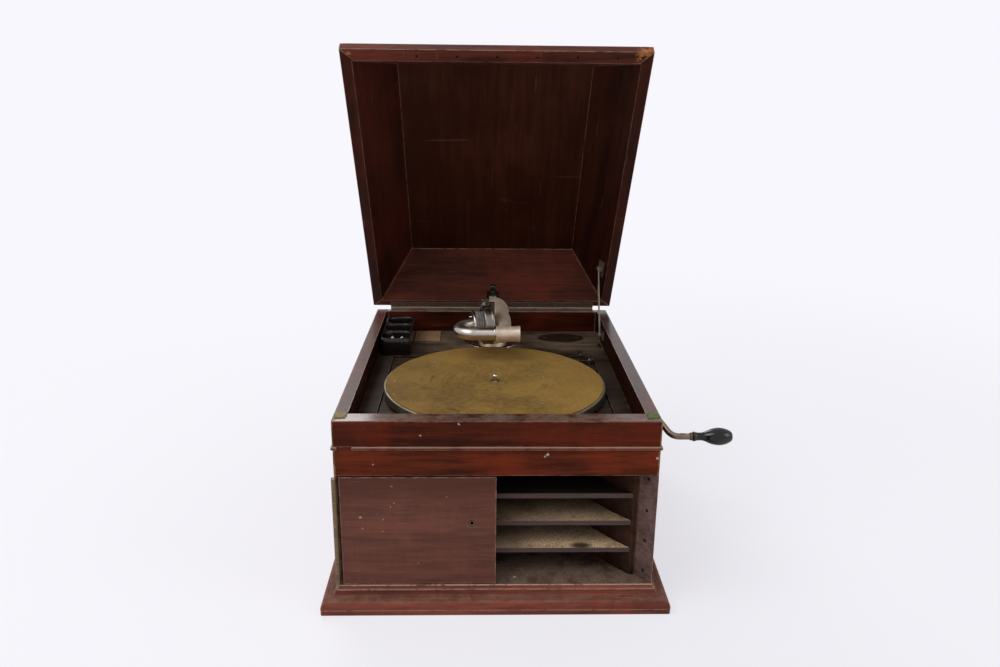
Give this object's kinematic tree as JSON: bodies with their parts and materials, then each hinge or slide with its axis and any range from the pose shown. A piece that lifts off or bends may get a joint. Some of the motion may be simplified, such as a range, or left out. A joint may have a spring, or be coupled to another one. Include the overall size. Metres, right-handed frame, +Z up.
{
  "type": "tabletop gramophone",
  "caption": "Tabletop gramophone in a wooden cabinet: hinged coved lid, side-hung front door over a slatted horn mouth, turntable, tone arm with fold-back sound box, winding crank.",
  "frame": {"origin": "centre of the underside of the base board, on the table", "axes": "+Z up, the front with the door faces -Y, the crank is on +X"},
  "size_m": [0.5503, 0.5405, 0.6658],
  "materials": {
    "mahogany": "worn satin polish",
    "door_wood": "dull, dented",
    "deck_wood": "dusty",
    "dusty_wood": "dusty, worn",
    "dark_wood": "dark stain",
    "cast_iron": "rough, black",
    "aged_brass": "tarnished",
    "nickel": "aged nickel plate",
    "steel": "plain",
    "felt": "worn felt",
    "black_tin": "black japan",
    "black_grip": "gloss black lacquer",
    "rubber": "perished",
    "mica": null
  },
  "bodies": {
    "cabinet": {"base_board": "mahogany", "plinth_moulding": "mahogany", "floor_board": "dusty_wood", "side_panel_left": "mahogany", "side_panel_right": "mahogany", "back_panel": "mahogany", "upper_front_rail": "mahogany", "bead_moulding": "dusty_wood", "lower_front_rail": "mahogany", "motor_board": "deck_wood", "board_surround": "deck_wood", "horn_top": "dark_wood", "horn_sides": "dark_wood", "horn_slats": "dusty_wood", "horn_elbow": "cast_iron", "cabinet_screws": "aged_brass", "rim_felt_pads": "felt", "door_hinge_cabinet_leaf": "aged_brass", "lid_hinge_cabinet_leaf": "nickel", "hinge_pins": "steel", "stay_lower_bracket": "steel", "arm_flange": "nickel", "arm_bracket": "nickel", "arm_pivot_screw": "steel", "needle_cup_tray": "black_tin", "spare_needles": "steel", "rear_plate": "aged_brass", "oval_plate": "black_tin", "motor_frame": "cast_iron", "motor_bolts": "steel", "crank_escutcheon": "nickel"},
    "door": {"door_panel": "door_wood", "door_hinge_door_leaf": "aged_brass", "door_screws": "aged_brass"},
    "lid": {"lid_front_rail": "mahogany", "lid_rear_rail": "mahogany", "lid_side_rails": "mahogany", "lid_panel": "dark_wood", "lid_hinge_lid_leaf": "nickel", "stay_upper_bracket": "steel", "lid_screws": "aged_brass"},
    "stay": {"stay_bar": "steel"},
    "turntable": {"turntable": "nickel", "turntable_felt": "felt", "spindle": "steel"},
    "barrel": {"spring_barrel": "steel", "mainspring": "steel"},
    "arbor": {"barrel_arbor": "steel"},
    "governor": {"governor": "aged_brass"},
    "crank": {"crank_rod": "steel"},
    "grip": {"crank_grip": "black_grip"},
    "brake": {"brake_lever": "steel"},
    "arm": {"tone_arm": "nickel"},
    "sound_box": {"gooseneck": "nickel", "soundbox_flange": "nickel", "soundbox_gasket": "rubber", "soundbox_ring": "nickel", "diaphragm": "mica", "needle_bar": "steel"},
    "needle_clamp": {"needle_screw": "steel"}
  },
  "joints": [
    {"name": "lid_hinge", "type": "hinge", "parent": "cabinet", "child": "lid", "pos_m": [0, 0.2415, 0.2495], "axis": [1, 0, 0], "range_deg": [0, 57.4]},
    {"name": "stay_pivot", "type": "hinge", "parent": "lid", "child": "stay", "pos_m": [0.172, 0.20489, 0.32734], "axis": [1, 0, 0], "range_deg": [-31.6, 0]},
    {"name": "door_hinge", "type": "hinge", "parent": "cabinet", "child": "door", "pos_m": [-0.193, -0.2385, 0.1036], "axis": [0, 0, -1], "range_deg": [0, 170]},
    {"name": "turntable_spin", "type": "hinge", "parent": "cabinet", "child": "turntable", "pos_m": [0, -0.046, 0.21], "axis": [0, 0, 1], "continuous": true},
    {"name": "barrel_spin", "type": "hinge", "parent": "cabinet", "child": "barrel", "pos_m": [0.02, 0.02, 0.14], "axis": [0, 0, 1], "continuous": true},
    {"name": "governor_spin", "type": "hinge", "parent": "cabinet", "child": "governor", "pos_m": [0, -0.0678, 0.15], "axis": [1, 0, 0], "continuous": true},
    {"name": "crank_spin", "type": "hinge", "parent": "cabinet", "child": "crank", "pos_m": [0.1925, 0.02, 0.182], "axis": [1, 0, 0], "continuous": true},
    {"name": "arbor_spin", "type": "hinge", "parent": "cabinet", "child": "arbor", "pos_m": [0.02, 0.02, 0.17], "axis": [0, 0, 1], "continuous": true},
    {"name": "grip_spin", "type": "hinge", "parent": "crank", "child": "grip", "pos_m": [0.3095, -0.046, 0.142], "axis": [1, 0, 0], "continuous": true},
    {"name": "brake_swing", "type": "hinge", "parent": "cabinet", "child": "brake", "pos_m": [0.14495, 0.06603, 0.218], "axis": [0, 0, -1], "range_deg": [0, 14]},
    {"name": "arm_swing", "type": "hinge", "parent": "cabinet", "child": "arm", "pos_m": [0, 0.174, 0.24], "axis": [0, 0, 1], "range_deg": [-12, 48]},
    {"name": "sound_box_flip", "type": "hinge", "parent": "arm", "child": "sound_box", "pos_m": [0.0028, 0.035, 0.268], "axis": [1, 0, 0], "range_deg": [0, 168]},
    {"name": "needle_screw_turn", "type": "hinge", "parent": "sound_box", "child": "needle_clamp", "pos_m": [-0.01451, 0.0808, 0.3062], "axis": [0.9848, 0.1736, 0], "range_deg": [0, 270]}
  ],
  "couplings": [
    {"joint": "stay_pivot", "follows": "lid_hinge", "ratio": -0.55},
    {"joint": "barrel_spin", "follows": "turntable_spin", "ratio": -0.27778},
    {"joint": "governor_spin", "follows": "turntable_spin", "ratio": 12},
    {"joint": "arbor_spin", "follows": "crank_spin", "ratio": 0.36364}
  ]
}
